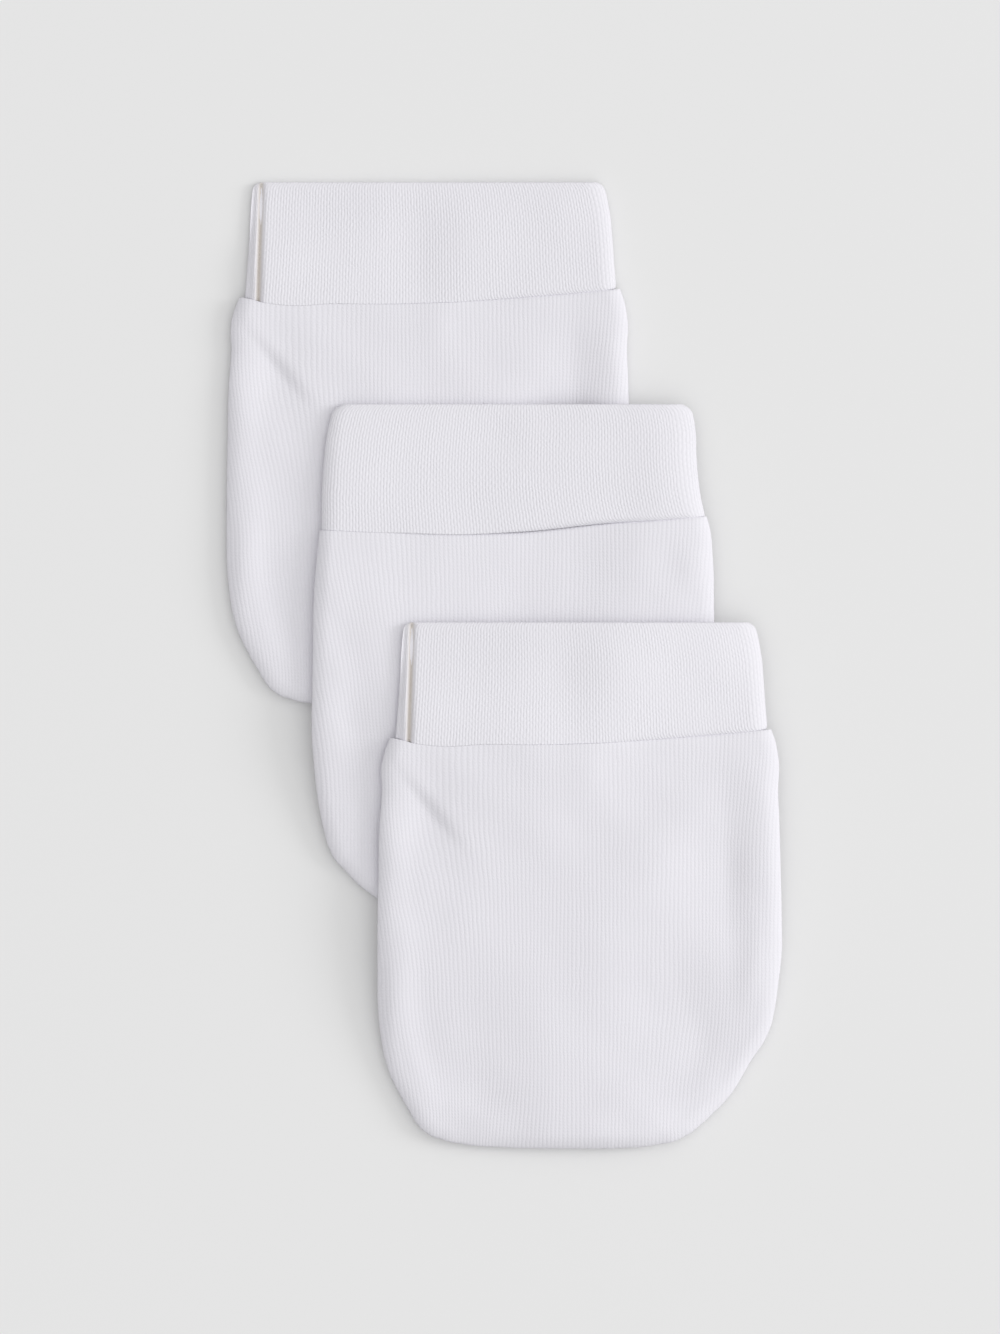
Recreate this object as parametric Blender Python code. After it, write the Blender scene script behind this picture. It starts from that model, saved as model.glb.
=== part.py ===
"""Set of three knitted baby scratch mittens, laid flat in a staggered stack.

Each mitten has a front and a back panel, seamed round the sides and the tip with the seam inside,
and a cuff: one strip of rib folded double along the mouth, closed to a ring by one side seam and
sewn to the top of the body.  The lower mitten lies on the table, the middle one lies across it and
the upper one across both, each easing down to the table past the edges of what it lies on.

Sizes are written in millimetres and become metres as points are placed.  +Z is up.  Each mitten has
its own frame: across from the middle of its body, along from its cuff seam towards the mouth.
The finished set stands on z = 0 with the centre of its outline at the origin.
"""

import math
from collections import namedtuple

import bmesh
import bpy
from mathutils import Matrix, Vector

MM = 0.001

# ---- driving sizes, millimetres
PANEL_WALL = 1.0         # one layer of body knit
CUFF_WALL = 1.3          # the strip of rib, folded double
SEAM_GAP = 0.3           # clear space between pieces that are sewn together
BODY_THICK = 2.9         # front and back panel together
CUFF_THICK = 2.0 * CUFF_WALL + SEAM_GAP
EDGE_ROLL = 3.2          # how far in from its outline a panel is still rounding over
CUFF_ROLL = 3.4          # how far in from its sides the cuff is still rounding over
CUFF_CORNER = 1.6        # rounding of the cuff's two corners at the mouth
CUFF_TAPER = 0.2         # share of its thickness that the cuff has lost at the mouth
SEAM_DIP = 0.35          # how much the body dips where the cuff is sewn on
SEAM_DIP_REACH = 1.6
DRAPE_MARGIN = 1.0       # level stretch past the edge of the mitten below
DRAPE_REACH = 42.0       # where the cloth is back down on the table
HIGHEST_FOLD = 0.1       # of what the folds raise where another mitten lies on them
LIFT = max(BODY_THICK + HIGHEST_FOLD, CUFF_THICK) + SEAM_GAP

# ---- how finely each piece is divided
EDGE_STEPS = (0.0, 0.35, 1.4, 3.2)       # mm in from a side, where the panel rounds over
PANEL_COLUMNS = 12                       # spaces between the rounded edges
TOP_STEPS = (0.0, 1.2, 3.4)              # mm down from the cuff seam
PANEL_ROWS = 10
CUFF_SIDE_TURNS = 4                      # flats in each rounded side of the cuff
CUFF_COLUMNS = 11                        # spaces across the cuff, front and back alike
CUFF_HEIGHTS = (0.0, 0.25, 0.5, 0.75)    # share of the straight height of the wall
CUFF_FOLD_TURNS = 4                      # flats in the rounded fold along the mouth
WELD = 1e-5                              # mm, where the ends of a ring are joined
SMOOTH_ANGLE = 50.0                      # degrees, past which an edge stays sharp

SideRow = namedtuple("SideRow", "down left right")
CornerRow = namedtuple("CornerRow", "inset up")
SeamRow = namedtuple("SeamRow", "across height")
CuffRow = namedtuple("CuffRow", "up left right")
Fold = namedtuple("Fold", "name across along length width turn height")
Groove = namedtuple("Groove", "inset width depth")
Station = namedtuple("Station", "share offset height dip")
Cut = namedtuple("Cut", "length sides left_corner right_corner seam cuff folds cuff_groove")
Place = namedtuple("Place", "name cut across along")

# ---- a mitten that lies with its cuff's side seam up, near the left edge
SEAM_UP = Cut(
    length=85.2,
    sides=(
        SideRow(down=-2.0, left=38.9, right=39.8),
        SideRow(down=0.0, left=40.2, right=40.6),
        SideRow(down=11.0, left=41.6, right=41.2),
        SideRow(down=29.0, left=42.4, right=41.8),
        SideRow(down=42.0, left=42.6, right=42.1),
    ),
    left_corner=(
        CornerRow(inset=0.0, up=34.0),
        CornerRow(inset=0.5, up=25.1),
        CornerRow(inset=1.6, up=18.8),
        CornerRow(inset=4.0, up=12.7),
        CornerRow(inset=6.5, up=8.2),
        CornerRow(inset=8.4, up=5.1),
        CornerRow(inset=10.0, up=3.5),
        CornerRow(inset=13.2, up=2.0),
        CornerRow(inset=17.4, up=1.0),
        CornerRow(inset=25.0, up=0.3),
        CornerRow(inset=36.0, up=0.0),
    ),
    right_corner=(
        CornerRow(inset=0.0, up=44.0),
        CornerRow(inset=0.7, up=35.5),
        CornerRow(inset=1.6, up=29.0),
        CornerRow(inset=3.2, up=23.6),
        CornerRow(inset=6.4, up=18.6),
        CornerRow(inset=8.9, up=14.2),
        CornerRow(inset=10.9, up=11.2),
        CornerRow(inset=14.3, up=7.6),
        CornerRow(inset=17.3, up=4.8),
        CornerRow(inset=20.3, up=2.6),
        CornerRow(inset=25.7, up=0.9),
        CornerRow(inset=36.0, up=0.0),
    ),
    seam=(
        SeamRow(across=-39.0, height=0.5),
        SeamRow(across=-33.0, height=-0.4),
        SeamRow(across=0.0, height=-0.6),
        SeamRow(across=12.0, height=0.1),
        SeamRow(across=25.0, height=1.1),
        SeamRow(across=39.5, height=2.4),
    ),
    cuff=(
        CuffRow(up=0.0, left=38.7, right=39.1),
        CuffRow(up=7.8, left=38.1, right=38.4),
        CuffRow(up=13.5, left=37.7, right=38.0),
        CuffRow(up=19.5, left=37.4, right=37.3),
        CuffRow(up=24.7, left=36.9, right=36.1),
    ),
    folds=(
        Fold("crease under the cuff seam", across=-32.0, along=-14.8, length=8.5, width=2.2, turn=-50.6,
             height=-0.6),
        Fold("hollow beside the right edge", across=28.5, along=-27.0, length=17.0, width=8.0, turn=88.0,
             height=-0.75),
        Fold("ridge from the right edge inwards", across=20.0, along=-20.0, length=20.0, width=6.0,
             turn=54.0, height=0.3),
        Fold("hollow below it", across=20.5, along=-57.0, length=9.5, width=8.0, turn=74.0, height=-0.7),
        Fold("broad puff above the tip", across=-4.0, along=-76.0, length=12.0, width=18.0, turn=88.0,
             height=0.4),
        Fold("hollow above the tip", across=-22.5, along=-70.0, length=14.0, width=5.5, turn=88.0,
             height=-0.45),
    ),
    cuff_groove=Groove(inset=2.2, width=1.2, depth=0.5),
)

# ---- a mitten turned over, with its cuff's side seam underneath, near the right edge
SEAM_UNDER = Cut(
    length=85.2,
    sides=(
        SideRow(down=-2.0, left=38.9, right=41.4),
        SideRow(down=0.0, left=39.0, right=42.1),
        SideRow(down=6.5, left=39.6, right=43.0),
        SideRow(down=15.0, left=40.3, right=43.3),
        SideRow(down=24.0, left=40.5, right=43.4),
        SideRow(down=41.0, left=40.8, right=43.5),
    ),
    left_corner=(
        CornerRow(inset=0.0, up=44.0),
        CornerRow(inset=0.4, up=35.5),
        CornerRow(inset=1.3, up=27.2),
        CornerRow(inset=2.5, up=20.9),
        CornerRow(inset=3.7, up=16.8),
        CornerRow(inset=6.7, up=12.6),
        CornerRow(inset=13.4, up=6.6),
        CornerRow(inset=18.0, up=4.0),
        CornerRow(inset=24.0, up=1.6),
        CornerRow(inset=36.0, up=0.0),
    ),
    right_corner=(
        CornerRow(inset=0.0, up=34.0),
        CornerRow(inset=0.5, up=25.1),
        CornerRow(inset=1.6, up=18.8),
        CornerRow(inset=4.0, up=12.7),
        CornerRow(inset=6.5, up=8.2),
        CornerRow(inset=10.0, up=4.0),
        CornerRow(inset=17.4, up=1.2),
        CornerRow(inset=25.0, up=0.4),
        CornerRow(inset=36.0, up=0.0),
    ),
    seam=(
        SeamRow(across=-39.3, height=-1.9),
        SeamRow(across=-22.0, height=-2.5),
        SeamRow(across=0.0, height=-2.4),
        SeamRow(across=19.0, height=-0.5),
        SeamRow(across=30.0, height=0.1),
        SeamRow(across=41.5, height=1.0),
    ),
    cuff=(
        CuffRow(up=-2.0, left=38.6, right=42.2),
        CuffRow(up=1.5, left=38.6, right=41.3),
        CuffRow(up=5.0, left=38.6, right=40.5),
        CuffRow(up=9.0, left=38.4, right=39.95),
        CuffRow(up=14.0, left=38.0, right=39.55),
        CuffRow(up=19.5, left=37.2, right=39.3),
        CuffRow(up=24.4, left=35.9, right=38.3),
    ),
    folds=(
        Fold("broad hollow right of the middle", across=12.5, along=-12.0, length=20.0, width=18.0,
             turn=90.0, height=-0.5),
    ),
    cuff_groove=None,
)

# ---- where each mitten lies, from the bottom of the stack to the top
PLACES = (
    Place("lower", SEAM_UP, across=-15.4, along=76.1),
    Place("middle", SEAM_UNDER, across=0.6, along=30.0),
    Place("upper", SEAM_UP, across=16.1, along=-15.8),
)

COLOURS = {
    "front": (0.80, 0.79, 0.83, 1.0),
    "back": (0.77, 0.76, 0.80, 1.0),
    "cuff": (0.84, 0.83, 0.87, 1.0),
}


def ease(share):
    """A soft step from 0 to 1."""
    share = min(max(share, 0.0), 1.0)
    return share * share * (3.0 - 2.0 * share)


def read_row(rows, key, column, place):
    """The value of one column of a table at a place between its rows, on a smooth curve."""
    keys = [getattr(row, key) for row in rows]
    values = [getattr(row, column) for row in rows]
    place = min(max(place, keys[0]), keys[-1])
    low = max(index for index, value in enumerate(keys[:-1]) if value <= place)
    steps = [(values[i + 1] - values[i]) / (keys[i + 1] - keys[i]) for i in range(len(keys) - 1)]
    slopes = [steps[0]] + [(a + b) / 2.0 for a, b in zip(steps, steps[1:])] + [steps[-1]]
    span = keys[low + 1] - keys[low]
    t = (place - keys[low]) / span
    start = values[low] + t * span * slopes[low]
    end = values[low + 1] - (1.0 - t) * span * slopes[low + 1]
    return start + (end - start) * ease(t)


def side_left(cut, along):
    """Across of the left side of the body at a height."""
    return -read_row(cut.sides, "down", "left", -along)


def side_right(cut, along):
    """Across of the right side of the body at a height."""
    return read_row(cut.sides, "down", "right", -along)


def corner_height(rows, inset):
    """Height above the tip of a rounded corner at an inset from its side.

    The rows are read against the root of the inset, so the outline leaves the side without a break.
    """
    roots = [CornerRow(math.sqrt(row.inset), row.up) for row in rows]
    return read_row(roots, "inset", "up", math.sqrt(max(inset, 0.0)))


def tip_along(cut, across):
    """Height of the lower edge of the body, from one side round the tip to the other."""
    left = corner_height(cut.left_corner, across + cut.sides[-1].left)
    right = corner_height(cut.right_corner, cut.sides[-1].right - across)
    return left + right - cut.length


def seam_along(cut, across):
    """Height of the cuff seam at a place across."""
    return read_row(cut.seam, "across", "height", across)


def body_outline(cut, points=48):
    """The body's outline from the left end of the cuff seam round the tip to the right end."""
    left_top = seam_along(cut, -40.0)
    right_top = seam_along(cut, 42.0)
    left_end = cut.left_corner[0].up - cut.length
    right_end = cut.right_corner[0].up - cut.length
    outline = []
    for step in range(points // 3):
        along = left_top + (left_end - left_top) * step / (points // 3)
        outline.append(Vector((side_left(cut, along), along)))
    width = cut.sides[-1].left + cut.sides[-1].right
    for step in range(points * 2):
        turn = math.pi * step / (points * 2 - 1)
        across = -cut.sides[-1].left + width * (1.0 - math.cos(turn)) / 2.0
        outline.append(Vector((across, tip_along(cut, across))))
    for step in range(1, points // 3 + 1):
        along = right_end + (right_top - right_end) * step / (points // 3)
        outline.append(Vector((side_right(cut, along), along)))
    return outline


def cuff_edge(cut, along, side):
    """Across of one side of the cuff at a height, rounded off at the mouth; side is -1 or 1."""
    column = "left" if side < 0 else "right"
    width = read_row(cut.cuff, "up", column, along)
    near_top = max(along - (cut.cuff[-1].up - CUFF_CORNER), 0.0) / CUFF_CORNER
    return side * (width - CUFF_CORNER * (1.0 - math.sqrt(max(1.0 - near_top ** 2, 0.0))))


def footprint(place):
    """Closed outline of a whole mitten, in the frame of the set."""
    cut = place.cut
    outline = body_outline(cut)
    heights = [cut.cuff[0].up + 3.0 + (cut.cuff[-1].up - cut.cuff[0].up - 3.0) * i / 8 for i in range(9)]
    outline += [Vector((cuff_edge(cut, along, 1), along)) for along in heights]
    outline += [Vector((cuff_edge(cut, along, -1), along)) for along in reversed(heights)]
    shift = Vector((place.across, place.along))
    return [point + shift for point in outline]


def nearest_on(outline, point, closed=False):
    """Distance from a point to an outline, and the direction from the outline to the point."""
    best = None
    last = len(outline) if closed else len(outline) - 1
    for index in range(last):
        start = outline[index]
        run = outline[(index + 1) % len(outline)] - start
        share = min(max((point - start).dot(run) / max(run.length_squared, 1e-12), 0.0), 1.0)
        away = point - (start + run * share)
        if best is None or away.length_squared < best[0]:
            best = (away.length_squared, away, run)
    distance = math.sqrt(best[0])
    inward = Vector((-best[2].y, best[2].x)).normalized()
    return distance, inward


def is_inside(outline, point):
    """True where a point lies within a closed outline."""
    inside = False
    for index, start in enumerate(outline):
        end = outline[(index + 1) % len(outline)]
        if (start.y > point.y) != (end.y > point.y):
            crossing = start.x + (point.y - start.y) * (end.x - start.x) / (end.y - start.y)
            if point.x < crossing:
                inside = not inside
    return inside


def drape_height(below, point):
    """How high the underside of a mitten is held by the mittens below it."""
    height = 0.0
    for outline in below:
        distance = 0.0 if is_inside(outline, point) else nearest_on(outline, point, closed=True)[0]
        height += LIFT * (1.0 - ease((distance - DRAPE_MARGIN) / (DRAPE_REACH - DRAPE_MARGIN)))
    return height


def fold_height(folds, across, along):
    """Rise or fall of the front panel from its folds, each a soft long hump or hollow."""
    height = 0.0
    for fold in folds:
        turn = math.radians(fold.turn)
        run = (across - fold.across) * math.cos(turn) + (along - fold.along) * math.sin(turn)
        off = (along - fold.along) * math.cos(turn) - (across - fold.across) * math.sin(turn)
        height += fold.height * math.exp(-(run / fold.length) ** 2 - (off / fold.width) ** 2)
    return height


def panel_point(cut, outline, column, row, side, layer, rim):
    """A point of a panel: column and row are shares across and down, layer 0 outside, 1 inside."""
    nominal = -cut.sides[-1].left + column * (cut.sides[-1].left + cut.sides[-1].right)
    top = seam_along(cut, nominal) - SEAM_GAP / 2.0
    along = top + (tip_along(cut, nominal) - top) * row
    across = side_left(cut, along) * (1.0 - column) + side_right(cut, along) * column
    distance, inward = nearest_on(outline, Vector((across, along)))
    flatness = 0.0 if rim else min(distance / EDGE_ROLL, 1.0)
    lean = 1.0 - flatness
    rise = math.sqrt(1.0 - lean * lean)
    half = (BODY_THICK - SEAM_GAP) / 2.0 - PANEL_WALL * layer
    if layer:
        across += inward.x * PANEL_WALL * lean
        along = min(along + inward.y * PANEL_WALL * lean, top)
    height = BODY_THICK / 2.0 + side * (SEAM_GAP / 2.0 + half * rise)
    if side > 0:
        dip = SEAM_DIP * math.exp(-((top - along) / SEAM_DIP_REACH) ** 2)
        height += rise * (fold_height(cut.folds, across, along) - dip)
    return Vector((across, along, height))


def make_slab(columns, rows):
    """A closed flat slab of unit squares, whose points say which column, row and layer they are."""
    slab = bmesh.new()
    bmesh.ops.create_grid(slab, x_segments=columns, y_segments=rows, size=1.0)
    bmesh.ops.solidify(slab, geom=slab.faces[:], thickness=1.0)
    for vert in slab.verts:
        vert.co.x = round((vert.co.x + 1.0) / 2.0 * columns)
        vert.co.y = round((1.0 - vert.co.y) / 2.0 * rows)
        vert.co.z = 1.0 if vert.co.z < -0.5 else 0.0
    return slab


def across_shares(cut):
    """Shares across a panel of its columns: close together where the edges round over."""
    width = cut.sides[-1].left + cut.sides[-1].right
    edge = EDGE_STEPS[-1]
    middle = [edge + (width - 2.0 * edge) * i / PANEL_COLUMNS for i in range(1, PANEL_COLUMNS)]
    return [place / width for place in (*EDGE_STEPS, *middle, *(width - s for s in reversed(EDGE_STEPS)))]


def down_shares(cut):
    """Shares down a panel of its rows: close together at the cuff seam and at the tip."""
    first = TOP_STEPS[-1]
    last = cut.length - EDGE_STEPS[-1]
    middle = [first + (last - first) * i / PANEL_ROWS for i in range(1, PANEL_ROWS)]
    return [p / cut.length for p in (*TOP_STEPS, *middle, *(cut.length - s for s in reversed(EDGE_STEPS)))]


def place_in_set(mesh, place, below):
    """Lay a mitten's piece in its place on what is below it, and turn millimetres into metres."""
    for vert in mesh.verts:
        ground = Vector((vert.co.x + place.across, vert.co.y + place.along))
        vert.co = Vector((ground.x, ground.y, vert.co.z + drape_height(below, ground))) * MM


def make_panel(place, below, side):
    """The front or the back panel of a mitten: a wall of knit that rounds over at its edges."""
    cut = place.cut
    outline = body_outline(cut)
    columns = across_shares(cut)
    rows = down_shares(cut)
    panel = make_slab(len(columns) - 1, len(rows) - 1)
    for vert in panel.verts:
        column, row, layer = (round(value) for value in vert.co)
        rim = column in (0, len(columns) - 1) or row == len(rows) - 1
        vert.co = panel_point(cut, outline, columns[column], rows[row], side, layer, rim)
    if side < 0:
        bmesh.ops.reverse_faces(panel, faces=panel.faces[:])
    place_in_set(panel, place, below)
    return panel


def ring_stations(groove, half, left, right, roll_left, roll_right):
    """Places round a flattened ring as Station rows.

    Left and right are where its rounded sides end, and the rolls are how wide those sides are.
    """
    stations = []
    for turn in range(CUFF_SIDE_TURNS):
        angle = math.pi * (turn / CUFF_SIDE_TURNS - 0.5)
        stations.append(Station(0.0, left - roll_left * math.cos(angle), half * math.sin(angle), 0.0))
    if groove:
        for step in (-0.5, 0.0, 0.5):
            offset = max(groove.inset + step * groove.width, left - roll_left * 0.2)
            stations.append(Station(0.0, offset, half, groove.depth if step == 0.0 else 0.0))
    else:
        stations.append(Station(0.0, left, half, 0.0))
    for step in range(1, CUFF_COLUMNS + 1):
        share = step / CUFF_COLUMNS
        stations.append(Station(share, left * (1.0 - share) - right * share, half, 0.0))
    for turn in range(1, CUFF_SIDE_TURNS):
        angle = math.pi * (0.5 - turn / CUFF_SIDE_TURNS)
        stations.append(Station(1.0, roll_right * math.cos(angle) - right, half * math.sin(angle), 0.0))
    for step in range(CUFF_COLUMNS):
        share = 1.0 - step / CUFF_COLUMNS
        stations.append(Station(share, left * (1.0 - share) - right * share, -half, 0.0))
    return stations


def cuff_section():
    """Points round the doubled wall as (layer, level): up the outside, over the fold, down inside."""
    section = [(0.0, share) for share in CUFF_HEIGHTS]
    for turn in range(CUFF_FOLD_TURNS + 1):
        angle = math.pi * turn / CUFF_FOLD_TURNS
        section.append(((1.0 - math.cos(angle)) / 2.0, 1.0 + math.sin(angle)))
    return section + [(1.0, share) for share in reversed(CUFF_HEIGHTS)]


def cuff_point(cut, outer, inner, layer, level):
    """A point of the cuff: layer 0 outside to 1 inside, level 0 at the seam, 1 at the fold, 2 its top."""
    fold = CUFF_WALL / 2.0
    top = cut.cuff[-1].up
    across = cut.cuff[0].left * (2.0 * outer.share - 1.0)
    bottom = seam_along(cut, across) + SEAM_GAP / 2.0
    straight = (top - fold - bottom) * min(level, 1.0)
    along = bottom + straight + fold * max(level - 1.0, 0.0)
    left = cuff_edge(cut, min(along, top - fold * 0.4), -1)
    right = cuff_edge(cut, min(along, top - fold * 0.4), 1)
    points = []
    for station, dip in ((outer, outer.dip), (inner, 0.0)):
        across = left + (right - left) * station.share + station.offset
        points.append(Vector((across, along, CUFF_THICK / 2.0 + station.height - dip)))
    point = points[0].lerp(points[1], layer)
    point.z *= 1.0 - CUFF_TAPER * max(along, 0.0) / top
    return point


def make_cuff(place, below):
    """The cuff: a flattened ring whose doubled wall is rounded where the strip folds at the mouth."""
    cut = place.cut
    half = CUFF_THICK / 2.0
    gap = SEAM_GAP / 2.0
    roll_left = half if cut.cuff_groove else CUFF_ROLL
    outer = ring_stations(cut.cuff_groove, half, roll_left, CUFF_ROLL, roll_left, CUFF_ROLL)
    inner = ring_stations(cut.cuff_groove, gap, half, half, gap, gap)
    section = cuff_section()
    cuff = bmesh.new()
    bmesh.ops.create_grid(cuff, x_segments=len(outer), y_segments=len(section), size=1.0)
    for vert in cuff.verts:
        station = round((vert.co.x + 1.0) / 2.0 * len(outer)) % len(outer)
        layer, level = section[round((vert.co.y + 1.0) / 2.0 * len(section)) % len(section)]
        vert.co = cuff_point(cut, outer[station], inner[station], layer, level)
    bmesh.ops.remove_doubles(cuff, verts=cuff.verts[:], dist=WELD)
    bmesh.ops.recalc_face_normals(cuff, faces=cuff.faces[:])
    place_in_set(cuff, place, below)
    return cuff


def make_material(name, colour):
    """Matt white knit."""
    material = bpy.data.materials.new(name)
    material.use_nodes = True
    shader = material.node_tree.nodes["Principled BSDF"]
    shader.inputs["Base Color"].default_value = colour
    shader.inputs["Roughness"].default_value = 0.95
    shader.inputs["Metallic"].default_value = 0.0
    return material


def add_piece(name, shape, material, collection):
    """Turn a finished shape into a named object of the set."""
    mesh = bpy.data.meshes.new(name)
    shape.to_mesh(mesh)
    shape.free()
    mesh.materials.append(material)
    piece = bpy.data.objects.new(name, mesh)
    collection.objects.link(piece)
    return piece


def centre_set(pieces):
    """Bring the centre of the set's outline to the origin and its lowest point to z = 0."""
    points = [vert.co for piece in pieces for vert in piece.data.vertices]
    lows = [min(point[axis] for point in points) for axis in range(3)]
    highs = [max(point[axis] for point in points) for axis in range(3)]
    shift = Vector(((lows[0] + highs[0]) / -2.0, (lows[1] + highs[1]) / -2.0, -lows[2]))
    for piece in pieces:
        piece.data.transform(Matrix.Translation(shift))
        piece.data.set_sharp_from_angle(angle=math.radians(SMOOTH_ANGLE))
        piece.data.shade_smooth()


def build_set():
    """Make every mitten from the bottom of the stack to the top."""
    for item in list(bpy.data.objects):
        bpy.data.objects.remove(item, do_unlink=True)
    collection = bpy.data.collections.new("baby_mitten_set")
    bpy.context.scene.collection.children.link(collection)
    materials = {part: make_material(f"knit_{part}", colour) for part, colour in COLOURS.items()}
    pieces = []
    below = []
    for place in PLACES:
        shapes = {
            "front": make_panel(place, below, side=1),
            "back": make_panel(place, below, side=-1),
            "cuff": make_cuff(place, below),
        }
        for part, shape in shapes.items():
            pieces.append(add_piece(f"mitten_{place.name}_{part}", shape, materials[part], collection))
        below.append(footprint(place))
    centre_set(pieces)


build_set()
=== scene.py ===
"""Looks of a set of three knitted baby scratch mittens, laid flat in a staggered stack.

Every mitten is a front and a back panel of fine body knit, with a cuff of finer rib folded double
along the mouth.  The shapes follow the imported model; what is added here is the ribs, the creases,
the seams, the knit and a plain studio.  Forms are worked out in millimetres and placed in metres.
"""

import logging
import math
from dataclasses import dataclass, field
from enum import Enum
from typing import Any, Optional

import bmesh
import bpy
import numpy as np
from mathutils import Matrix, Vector


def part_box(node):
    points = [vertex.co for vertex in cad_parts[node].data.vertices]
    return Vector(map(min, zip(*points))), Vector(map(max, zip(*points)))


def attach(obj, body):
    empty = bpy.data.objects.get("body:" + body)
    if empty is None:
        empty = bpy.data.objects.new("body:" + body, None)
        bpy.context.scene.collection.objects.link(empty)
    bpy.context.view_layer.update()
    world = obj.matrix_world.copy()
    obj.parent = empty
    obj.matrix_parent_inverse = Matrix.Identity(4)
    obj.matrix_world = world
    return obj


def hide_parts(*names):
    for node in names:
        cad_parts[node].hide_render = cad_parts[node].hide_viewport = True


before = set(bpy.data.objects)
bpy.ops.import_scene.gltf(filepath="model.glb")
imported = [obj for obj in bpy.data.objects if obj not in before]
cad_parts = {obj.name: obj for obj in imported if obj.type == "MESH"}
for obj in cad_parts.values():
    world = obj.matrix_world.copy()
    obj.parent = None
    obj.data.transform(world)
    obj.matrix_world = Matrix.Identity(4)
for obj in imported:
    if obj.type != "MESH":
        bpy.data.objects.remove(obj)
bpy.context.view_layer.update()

Array = np.ndarray
Colour = tuple[float, float, float, float]

LOG = logging.getLogger("mittens")
MM = 0.001
FULL_TURN = 2.0 * math.pi
UV_NAME = "stitches"
# Name of the mask for the seam's thread colour with painted shade in its groove.
THREAD_AND_SHADE_NAME = "seam_thread_and_shade"
SEAM_PASSES = 3
RIDGE_SEED = 50
WANDER_SEED = 70
RIB_SEED = 5
SIDE_NAMES = {-1: "left", 1: "right"}


class Face(Enum):
    """Which panel of a mitten."""

    FRONT = 1
    BACK = -1


class Lie(Enum):
    """Where the side seam of a mitten's cuff has ended up."""

    SEAM_UP = "seam up"
    SEAM_UNDER = "seam under"


# ------------------------------------------------------------------ tables of the cut


@dataclass(frozen=True)
class WidthRow:
    """Half widths at one distance from the cuff seam, in millimetres.

    The distance is measured away from it: down the body, or up the cuff.
    """

    away: float
    left: float
    right: float


@dataclass(frozen=True)
class SeamRow:
    """Height of the cuff seam at one place across, in millimetres."""

    across: float
    height: float


@dataclass(frozen=True)
class CornerRow:
    """Height above the tip of a rounded corner at one inset from its side, in millimetres."""

    inset: float
    up: float

    @property
    def root(self) -> float:
        """Square root of the inset, against which a round corner is nearly straight."""
        return math.sqrt(self.inset)


@dataclass(frozen=True)
class Fold:
    """One soft crease (negative height) or puff (positive), in millimetres and degrees.

    A fold turned by 0 degrees runs across, by -90 down.  It is width wide on its left-hand side as it
    runs, and other_width on its right-hand side.
    """

    across: float
    along: float
    length: float
    width: float
    turn: float
    height: float
    other_width: float

    def at(self, places: Array) -> Array:
        """How the fold shapes the cloth.

        Args:
            places: Where to read it, one row each.

        Returns:
            The rise at each place.
        """
        turn = math.radians(self.turn)
        across = places[:, 0] - self.across
        along = places[:, 1] - self.along
        run = across * math.cos(turn) + along * math.sin(turn)
        off = along * math.cos(turn) - across * math.sin(turn)
        width = np.where(off > 0.0, self.width, self.other_width)
        return self.height * np.exp(-((run / self.length) ** 2) - (off / width) ** 2)


@dataclass(frozen=True)
class Lean:
    """A stretch where the wales lean: to the right on their way down if shift is positive.

    It starts at along and goes on for length, and fades over width to both sides of across.
    """

    across: float
    along: float
    width: float
    length: float
    shift: float

    def at(self, places: Array) -> Array:
        """How far aside the wales are at places, one row each."""
        near = np.exp(-(((places[:, 0] - self.across) / self.width) ** 2))
        return self.shift * near * (0.5 - ease((self.along - places[:, 1]) / self.length))


@dataclass(frozen=True)
class SideSeam:
    """The seam that closes the cuff to a ring: a groove, and outside it a lip that lies lower.

    Across is the place of the groove at the mouth, and lean how far it moves out down to the body.
    """

    across: float = -35.3
    lean: float = -0.6
    width: float = 0.6
    depth: float = 0.9
    fall: float = 1.0
    fall_width: float = 2.1
    sink: float = 0.25
    sink_width: float = 1.8
    # Width of the band of thread colour and painted shade along the groove.
    thread_and_shade_width: float = 0.5

    def from_groove(self, form: Array, mouth: float) -> Array:
        """How far right of the groove each point of the cuff is."""
        return form[:, 0] - self.across - self.lean * (1.0 - np.clip(form[:, 1] / mouth, 0.0, 1.0))

    def height(self, off: Array) -> Array:
        """Rise and fall across the seam.

        Args:
            off: Distances right of the groove.

        Returns:
            The rise at each, mostly negative.
        """
        groove = np.exp(-((off / self.width) ** 2))
        lip = 1.0 - ease(off / self.fall_width + 1.0)
        shoulder = (1.0 - ease(off / self.sink_width)) * (off > 0.0)
        return -self.depth * groove - self.fall * lip * (1.0 - groove) - self.sink * shoulder

    def thread_and_shade(self, off: Array) -> Array:
        """How much of the seam's thread and its painted groove shade shows, from 0 to 1, at distances right
        of its groove.
        """
        return np.exp(-((off / self.thread_and_shade_width) ** 2))


@dataclass(frozen=True)
class EdgeRidge:
    """Where the seam allowance inside holds a panel up along its edge, and the dip behind it."""

    inset: float = 4.5
    width: float = 3.2
    rise: float = 0.3
    dip_inset: float = 10.5
    dip_width: float = 4.5
    dip: float = 0.15
    fade: float = 2.5

    @property
    def reach(self) -> float:
        """Inset at which nothing is left of it."""
        return self.dip_inset + self.fade * self.dip_width

    def height(self, distance: Array) -> Array:
        """Rise at distances in from the outline."""
        ridge = self.rise * np.exp(-(((distance - self.inset) / self.width) ** 2))
        return ridge - self.dip * np.exp(-(((distance - self.dip_inset) / self.dip_width) ** 2))


def ease(share: Array) -> Array:
    """A soft step from 0 to 1."""
    share = np.clip(share, 0.0, 1.0)
    return share * share * (3.0 - 2.0 * share)


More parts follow.
